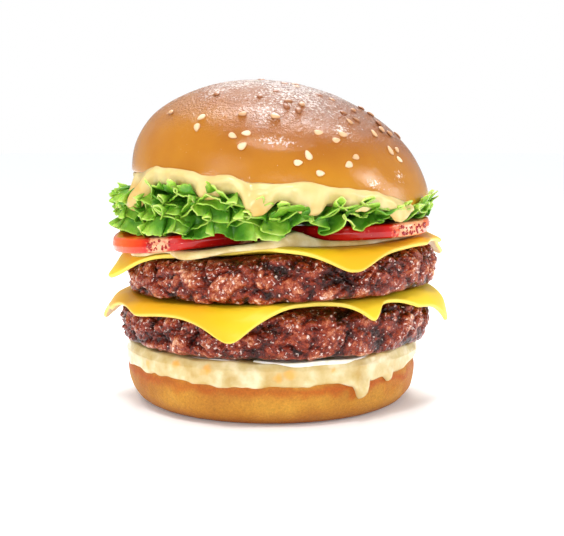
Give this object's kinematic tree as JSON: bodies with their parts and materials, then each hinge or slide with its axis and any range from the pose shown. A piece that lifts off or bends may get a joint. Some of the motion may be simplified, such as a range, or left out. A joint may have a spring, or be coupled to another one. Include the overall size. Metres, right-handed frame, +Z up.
{
  "type": "double cheeseburger",
  "caption": "Double cheeseburger: seeded bun, beef patties under draped cheese, tomato, frilly lettuce, onion and creamy sauce dripping at the bun's edges.",
  "frame": {"origin": "centre of the flat foot of the bun's lower half, on the surface the burger stands on", "axes": "+Z up; -Y towards the front that the picture shows; +X to the right seen from the front"},
  "size_m": [0.1238, 0.1164, 0.1111],
  "materials": {
    "heel_crust": "soft baked crust, matt",
    "crown_crust": "glazed golden-brown crust with cream sesame seeds",
    "cream_sauce": "glossy cream mayonnaise",
    "yellow_sauce": "glossy pale yellow sauce",
    "onion": "moist, slightly see-through",
    "patty": "coarse seared beef with a greasy sheen",
    "cheese": "smooth softened cheese",
    "tomato": "wet cut tomato",
    "lettuce": "crisp leaf, paler at its frilled edge"
  },
  "bodies": {
    "root": {"bun_heel": "heel_crust", "sauce_heel": "cream_sauce", "onion_front_left": "onion", "onion_front_right": "onion", "onion_back_right": "onion", "onion_back_left": "onion", "patty_lower": "patty", "cheese_lower": "cheese", "patty_upper": "patty", "cheese_upper": "cheese", "sauce_middle": "cream_sauce", "tomato_left": "tomato", "tomato_right": "tomato", "tomato_back": "tomato", "lettuce_left": "lettuce", "lettuce_left_top": "lettuce", "lettuce_right": "lettuce", "lettuce_back": "lettuce", "sauce_crown": "yellow_sauce", "bun_crown": "crown_crust"}
  },
  "joints": []
}
